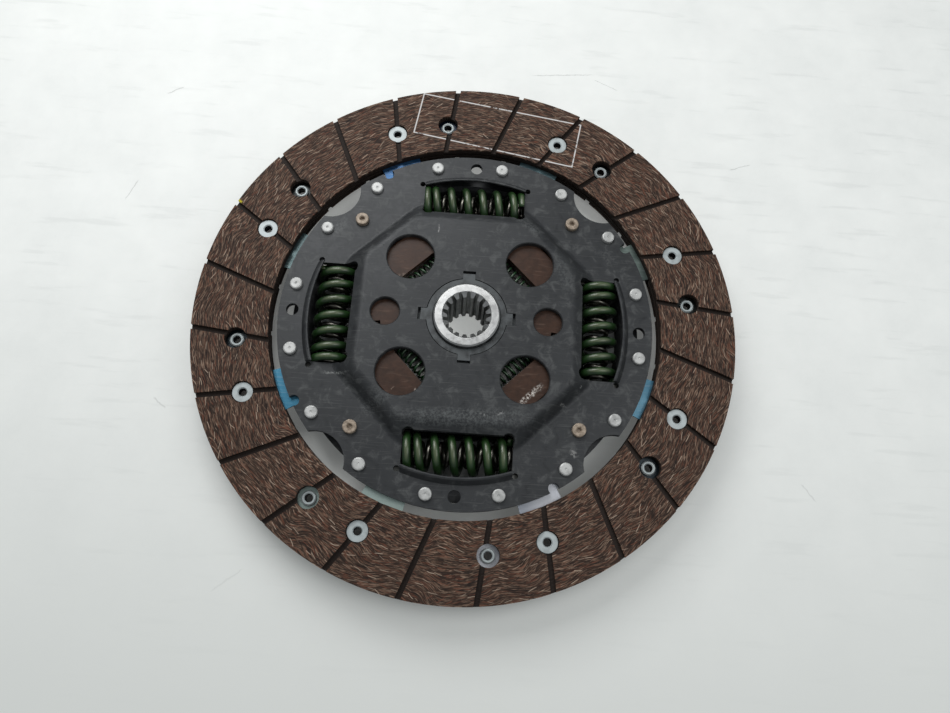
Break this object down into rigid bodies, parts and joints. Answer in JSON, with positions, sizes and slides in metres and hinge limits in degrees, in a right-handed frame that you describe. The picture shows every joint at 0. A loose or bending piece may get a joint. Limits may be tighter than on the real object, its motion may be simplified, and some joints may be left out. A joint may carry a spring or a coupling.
{
  "type": "clutch disc",
  "caption": "Sprung clutch disc: grooved riveted facings on waved segments, domed plates with coil springs in windows, a limited-twist flange and a splined hub.",
  "frame": {"origin": "on the disc's axis at the hub's rear end, the lowest point, on which it stands", "axes": "+Z along the disc's axis, from the rear to the front, where the raised drive plate shows; two of the four spring windows lie on X and two on Y"},
  "size_m": [0.228, 0.228, 0.0262],
  "materials": {
    "friction_material": "moulded friction lining with short metal and glass fibres, dull",
    "segment_steel": "spring steel with bluish temper colours",
    "rivet_bright": "bright plated, satin",
    "rivet_steel": "bright steel, satin",
    "plate_steel": "dark grey phosphated, satin, smudged",
    "stop_pin_coat": "cream yellow passivated steel, satin",
    "outer_spring_paint": "dark green, semi-gloss",
    "inner_spring_steel": "oiled spring steel, bronze tint",
    "flange_steel": "plain steel, oiled",
    "hub_steel": "turned and broached steel, oiled",
    "cage_plastic": "glass filled plastic, brown, scuffed",
    "small_spring_steel": "dark green spring wire",
    "bearing_ring": "sintered steel, grey",
    "washer_plastic": "filled plastic, dull",
    "washer_steel": "rolled spring steel"
  },
  "bodies": {
    "disc": {"facing_front": "friction_material", "facing_rear": "friction_material", "cushion_segment_1": "segment_steel", "cushion_segment_2": "segment_steel", "cushion_segment_3": "segment_steel", "cushion_segment_4": "segment_steel", "cushion_segment_5": "segment_steel", "cushion_segment_6": "segment_steel", "cushion_segment_7": "segment_steel", "cushion_segment_8": "segment_steel", "facing_rivets_front": "rivet_bright", "facing_rivets_rear": "rivet_bright", "segment_rivets": "rivet_steel", "drive_plate": "plate_steel", "counter_plate": "plate_steel", "stop_pins": "stop_pin_coat", "front_bearing_ring": "bearing_ring", "rear_bearing_bush": "bearing_ring", "wave_spring": "washer_steel", "rear_friction_ring": "washer_plastic", "pressure_plate": "washer_steel", "cup_spring": "washer_steel"},
    "flange": {"hub_flange": "flange_steel", "predamper_base": "cage_plastic", "predamper_cover": "cage_plastic"},
    "hub": {"hub": "hub_steel", "predamper_plate": "flange_steel", "front_friction_washer": "washer_plastic", "rear_thrust_washer": "washer_plastic"},
    "main_springs": {"outer_spring_1": "outer_spring_paint", "outer_spring_2": "outer_spring_paint", "outer_spring_3": "outer_spring_paint", "outer_spring_4": "outer_spring_paint", "inner_spring_1": "inner_spring_steel", "inner_spring_2": "inner_spring_steel", "inner_spring_3": "inner_spring_steel", "inner_spring_4": "inner_spring_steel"},
    "predamper_springs": {"predamper_spring_1": "small_spring_steel", "predamper_spring_2": "small_spring_steel", "predamper_spring_3": "small_spring_steel", "predamper_spring_4": "small_spring_steel"}
  },
  "joints": [
    {"name": "damper_twist", "type": "hinge", "parent": "disc", "child": "flange", "pos_m": [0, 0, 0.0124], "axis": [0, 0, 1], "range_deg": [-8, 8], "stiffness_Nm_per_rad": 8, "deforming": ["outer_spring_1", "outer_spring_2", "outer_spring_3", "outer_spring_4", "inner_spring_1", "inner_spring_2", "inner_spring_3", "inner_spring_4"]},
    {"name": "hub_free_play", "type": "hinge", "parent": "flange", "child": "hub", "pos_m": [0, 0, 0.0131], "axis": [0, 0, 1], "range_deg": [-5, 5], "stiffness_Nm_per_rad": 2, "deforming": ["predamper_spring_1", "predamper_spring_2", "predamper_spring_3", "predamper_spring_4"]},
    {"name": "main_springs_drift", "type": "hinge", "parent": "disc", "child": "main_springs", "pos_m": [0, 0, 0.0124], "axis": [0, 0, 1], "range_deg": [-4, 4], "deforming": ["outer_spring_1", "outer_spring_2", "outer_spring_3", "outer_spring_4", "inner_spring_1", "inner_spring_2", "inner_spring_3", "inner_spring_4"]},
    {"name": "predamper_springs_drift", "type": "hinge", "parent": "flange", "child": "predamper_springs", "pos_m": [0, 0, 0.0176], "axis": [0, 0, 1], "range_deg": [-2.5, 2.5], "deforming": ["predamper_spring_1", "predamper_spring_2", "predamper_spring_3", "predamper_spring_4"]}
  ],
  "couplings": [
    {"joint": "main_springs_drift", "follows": "damper_twist", "ratio": 0.5},
    {"joint": "predamper_springs_drift", "follows": "hub_free_play", "ratio": 0.5}
  ]
}
